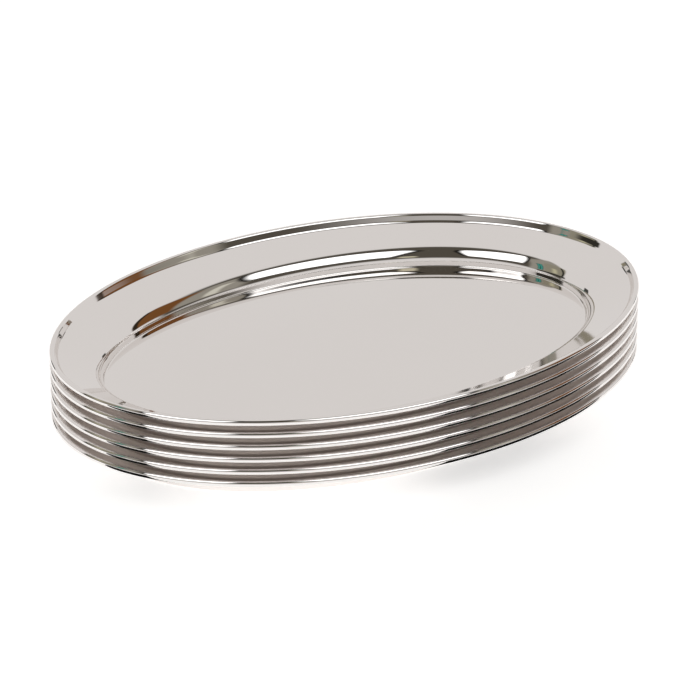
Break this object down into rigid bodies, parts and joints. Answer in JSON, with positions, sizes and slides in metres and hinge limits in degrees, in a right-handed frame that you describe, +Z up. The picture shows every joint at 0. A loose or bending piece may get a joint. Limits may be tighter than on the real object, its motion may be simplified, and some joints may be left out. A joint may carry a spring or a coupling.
{
  "type": "serving tray",
  "caption": "Nested stack of oval serving trays in polished stainless steel, each with a rolled rim, a sloping flange and a flat well; the trays lift off one by one.",
  "frame": {"origin": "centre of the underside of the bottom tray's floor, where the stack rests", "axes": "+X along the trays' length, +Y across them, +Z up out of the wells"},
  "size_m": [0.4998, 0.335, 0.0842],
  "materials": {
    "polished_steel": "mirror polished stainless steel, neutral to slightly warm, with faint handling marks"
  },
  "bodies": {
    "tray_1": {"tray_1": "polished_steel"},
    "tray_2": {"tray_2": "polished_steel"},
    "tray_3": {"tray_3": "polished_steel"},
    "tray_4": {"tray_4": "polished_steel"},
    "tray_5": {"tray_5": "polished_steel"},
    "tray_6": {"tray_6": "polished_steel"}
  },
  "joints": [
    {"name": "tray_2_lift", "type": "slide", "parent": "tray_1", "child": "tray_2", "axis": [0, 0, 1], "range_m": [0, 0.06]},
    {"name": "tray_3_lift", "type": "slide", "parent": "tray_2", "child": "tray_3", "axis": [0, 0, 1], "range_m": [0, 0.06]},
    {"name": "tray_4_lift", "type": "slide", "parent": "tray_3", "child": "tray_4", "axis": [0, 0, 1], "range_m": [0, 0.06]},
    {"name": "tray_5_lift", "type": "slide", "parent": "tray_4", "child": "tray_5", "axis": [0, 0, 1], "range_m": [0, 0.06]},
    {"name": "tray_6_lift", "type": "slide", "parent": "tray_5", "child": "tray_6", "axis": [0, 0, 1], "range_m": [0, 0.06]}
  ]
}
